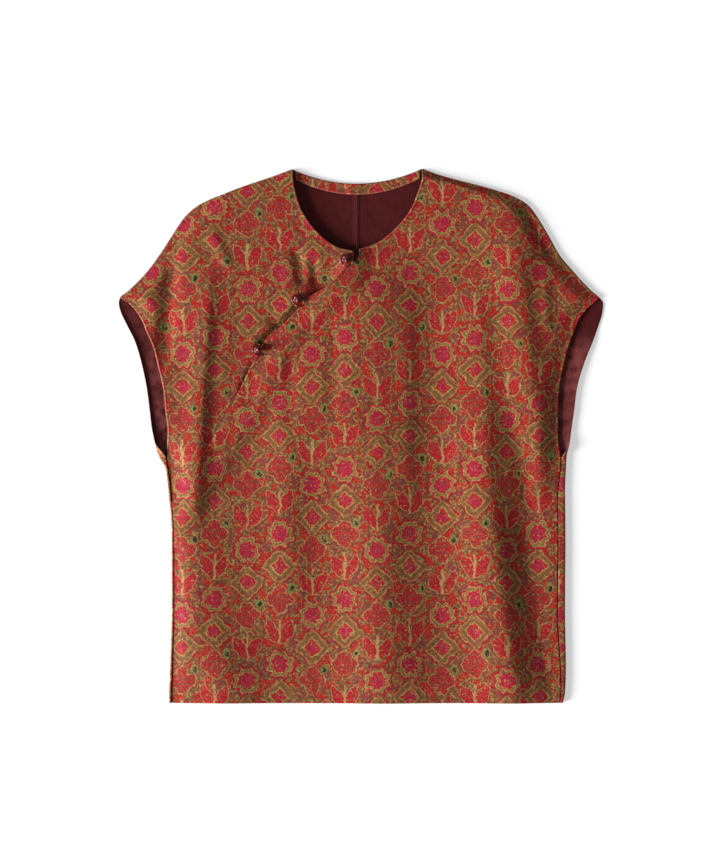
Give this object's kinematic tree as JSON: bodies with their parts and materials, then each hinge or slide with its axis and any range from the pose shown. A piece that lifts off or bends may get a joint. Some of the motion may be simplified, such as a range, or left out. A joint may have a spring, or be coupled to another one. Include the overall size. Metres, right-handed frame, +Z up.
{
  "type": "qipao top",
  "caption": "Collarless qipao top laid flat with its front up: loose body with cap sleeves cut in one, a slanting front closure with cord knot buttons, and a straight hem.",
  "frame": {"origin": "centre of the garment's bounding box, on the surface it lies on", "axes": "+Y from hem to neck, +X to the picture's right (the wearer's left), +Z up out of the surface"},
  "size_m": [0.5736, 0.6321, 0.0198],
  "materials": {
    "print_cloth": "printed silk with a soft satin sheen, plain dark red on the reverse",
    "cord": "glossy dark red silk cord"
  },
  "bodies": {
    "root": {"back_left": "print_cloth", "back_right": "print_cloth", "back_neck_facing": "print_cloth", "under_front": "print_cloth", "main_front": "print_cloth", "knot_top": "cord", "knot_middle": "cord", "knot_bottom": "cord", "loop_top": "cord", "loop_middle": "cord", "loop_bottom": "cord"}
  },
  "joints": []
}
